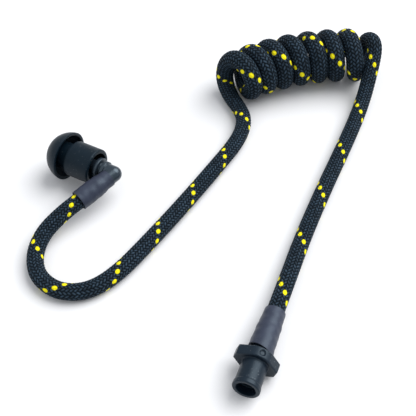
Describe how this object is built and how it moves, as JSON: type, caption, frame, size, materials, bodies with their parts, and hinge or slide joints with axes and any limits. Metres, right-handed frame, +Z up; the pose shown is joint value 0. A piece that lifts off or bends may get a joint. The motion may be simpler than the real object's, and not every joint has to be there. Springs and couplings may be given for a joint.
{
  "type": "acoustic earpiece tube",
  "caption": "Coiled braid-covered acoustic tube with a mushroom ear tip on an elbow at one end and a winged twist-lock barrel at the other.",
  "frame": {"origin": "on the surface the part lies on, under the middle of its hard parts: ear tip, elbow, the two shrink tubes and the connector", "axes": "+Z up from the surface; +Y from the connector towards the ear tip, along the longest side of the hard parts; +X towards the coil"},
  "size_m": [0.1232, 0.1184, 0.0162],
  "materials": {
    "silicone": "satin",
    "elbow_plastic": "semi-gloss",
    "heat_shrink": "satin",
    "braid": "woven, with a yellow tracer",
    "hose": "smooth",
    "connector_plastic": "satin"
  },
  "bodies": {
    "ear_side": {"elbow": "elbow_plastic", "ear_heat_shrink": "heat_shrink", "ear_leg_sleeve": "braid", "ear_leg_hose": "hose", "coil": "braid"},
    "ear_tip": {"ear_tip": "silicone"},
    "radio_side": {"radio_leg_sleeve": "braid", "radio_leg_hose": "hose", "radio_heat_shrink": "heat_shrink", "connector_body": "connector_plastic"}
  },
  "joints": [
    {"name": "coil_stretch", "type": "slide", "parent": "ear_side", "child": "radio_side", "axis": [1, 0, 0], "range_m": [0, 0.08], "stiffness_N_per_m": 20, "deforming": ["coil"]},
    {"name": "ear_tip_swivel", "type": "hinge", "parent": "ear_side", "child": "ear_tip", "pos_m": [-0.0189, 0.0402, 0.00735], "axis": [0.6933, -0.7179, 0.0628], "continuous": true}
  ]
}
